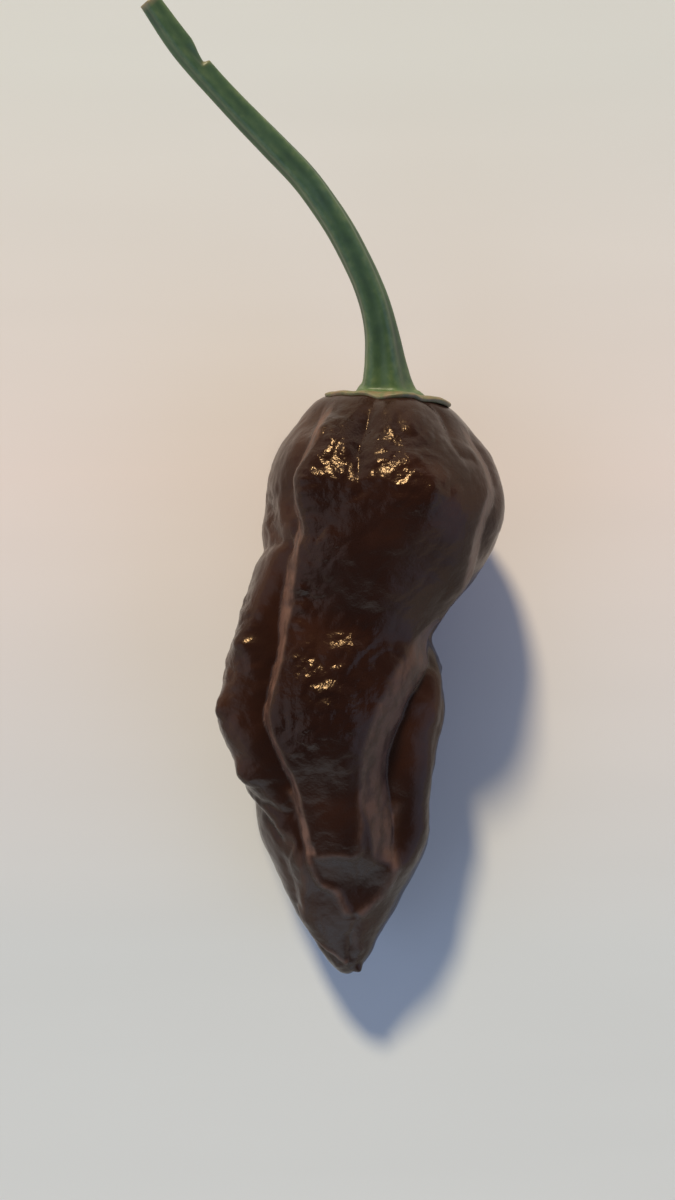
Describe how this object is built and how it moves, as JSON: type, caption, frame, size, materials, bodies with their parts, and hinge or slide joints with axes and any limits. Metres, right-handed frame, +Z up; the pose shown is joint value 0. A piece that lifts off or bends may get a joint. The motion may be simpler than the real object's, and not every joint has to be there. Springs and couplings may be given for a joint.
{
  "type": "chilli pepper",
  "caption": "Ripe chocolate-brown wrinkled chilli pepper, a folded lobed pod with its green calyx and long curved stem, lying on its side.",
  "frame": {"origin": "on the surface the pepper lies on, under the middle of its box", "axes": "+Z up; +Y from the pod's tip towards the stem's cut end, along the pepper's length; +X to the right with the stem away from the viewer"},
  "size_m": [0.0356, 0.0986, 0.0329],
  "materials": {
    "pod_skin": "glossy thin waxy skin, dark chocolate brown with reddish patches, finely wrinkled",
    "calyx_green": "satin pale green, drying to brown at the rim",
    "stem_green": "satin mid green with soft ribs and pale specks"
  },
  "bodies": {
    "root": {"pod": "pod_skin", "calyx": "calyx_green", "stem": "stem_green"}
  },
  "joints": []
}
